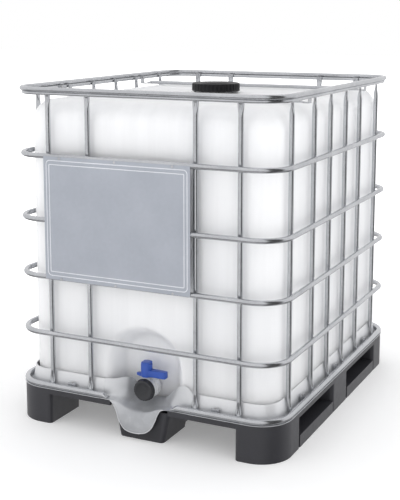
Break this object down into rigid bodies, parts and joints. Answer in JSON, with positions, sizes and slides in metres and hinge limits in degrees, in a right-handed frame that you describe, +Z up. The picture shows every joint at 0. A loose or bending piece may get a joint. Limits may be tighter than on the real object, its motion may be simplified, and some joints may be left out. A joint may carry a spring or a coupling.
{
  "type": "intermediate bulk container",
  "caption": "Thousand-litre liquid container: blown bottle in a welded tube cage on a steel drip tray and plastic pallet, with screw lid and bottom outlet valve.",
  "frame": {"origin": "on the floor at the centre of the footprint", "axes": "+X along the front, to the right as seen from the front; +Y from the outlet side to the back; +Z up"},
  "size_m": [1, 1.2, 1.16],
  "materials": {
    "galvanised_tube": "hot-dip galvanised, satin with fine spangle and white weld marks",
    "galvanised_sheet": "galvanised sheet, satin",
    "label_sheet": "galvanised sheet, smooth, cool grey",
    "pallet_plastic": "moulded black polyethylene, fine grain",
    "zinc_fasteners": "zinc plated",
    "bottle_plastic": "natural white blown polyethylene, slightly waxy",
    "lid_plastic": "moulded black polyethylene",
    "cap_plastic": "moulded black polyethylene",
    "seal_rubber": "black rubber",
    "valve_plastic": "natural white moulded polyethylene",
    "handle_plastic": "blue moulded plastic, semi-gloss"
  },
  "bodies": {
    "container": {"front_upright_1": "galvanised_tube", "front_upright_2": "galvanised_tube", "front_upright_3": "galvanised_tube", "front_upright_4": "galvanised_tube", "back_upright_1": "galvanised_tube", "back_upright_2": "galvanised_tube", "back_upright_3": "galvanised_tube", "back_upright_4": "galvanised_tube", "left_upright_1": "galvanised_tube", "left_upright_2": "galvanised_tube", "left_upright_3": "galvanised_tube", "left_upright_4": "galvanised_tube", "left_upright_5": "galvanised_tube", "left_upright_6": "galvanised_tube", "right_upright_1": "galvanised_tube", "right_upright_2": "galvanised_tube", "right_upright_3": "galvanised_tube", "right_upright_4": "galvanised_tube", "right_upright_5": "galvanised_tube", "right_upright_6": "galvanised_tube", "ring_1": "galvanised_tube", "ring_2": "galvanised_tube", "ring_3": "galvanised_tube", "ring_4": "galvanised_tube", "base_ring": "galvanised_tube", "top_rim": "galvanised_tube", "cross_bar_front": "galvanised_tube", "cross_bar_back": "galvanised_tube", "cage_clips": "galvanised_tube", "base_tray": "galvanised_sheet", "label_plate": "label_sheet", "pallet_deck": "pallet_plastic", "feet_left": "pallet_plastic", "feet_centre": "pallet_plastic", "feet_right": "pallet_plastic", "runner_left": "pallet_plastic", "runner_centre": "pallet_plastic", "runner_right": "pallet_plastic", "tray_screws": "zinc_fasteners", "clip_screws": "zinc_fasteners", "cross_bar_screws": "zinc_fasteners", "label_rivets": "zinc_fasteners", "bottle": "bottle_plastic", "outlet_gasket": "seal_rubber", "valve_seat": "seal_rubber", "valve_body": "valve_plastic", "union_nut": "valve_plastic"},
    "lid_carrier": {"lid_seal": "seal_rubber"},
    "lid_body": {"lid": "lid_plastic"},
    "cap_carrier": {"cap_seal": "seal_rubber"},
    "cap_body": {"outlet_cap": "cap_plastic"},
    "handle_body": {"valve_handle": "handle_plastic", "handle_screw": "zinc_fasteners", "valve_stem": "zinc_fasteners", "valve_disc": "valve_plastic", "stem_o_rings": "seal_rubber"}
  },
  "joints": [
    {"name": "lid_lift", "type": "slide", "parent": "container", "child": "lid_carrier", "axis": [0, 0, 1], "range_m": [0, 0.2]},
    {"name": "lid_turn", "type": "hinge", "parent": "lid_carrier", "child": "lid_body", "pos_m": [0, 0, 1.13], "axis": [0, 0, 1], "range_deg": [0, 540]},
    {"name": "cap_pull", "type": "slide", "parent": "container", "child": "cap_carrier", "axis": [0, -1, 0], "range_m": [0, 0.12]},
    {"name": "cap_turn", "type": "hinge", "parent": "cap_carrier", "child": "cap_body", "pos_m": [0, -0.56, 0.164], "axis": [0, -1, 0], "range_deg": [0, 900]},
    {"name": "handle_turn", "type": "hinge", "parent": "container", "child": "handle_body", "pos_m": [0, -0.538, 0.22], "axis": [0, 0, -1], "range_deg": [0, 90]}
  ]
}
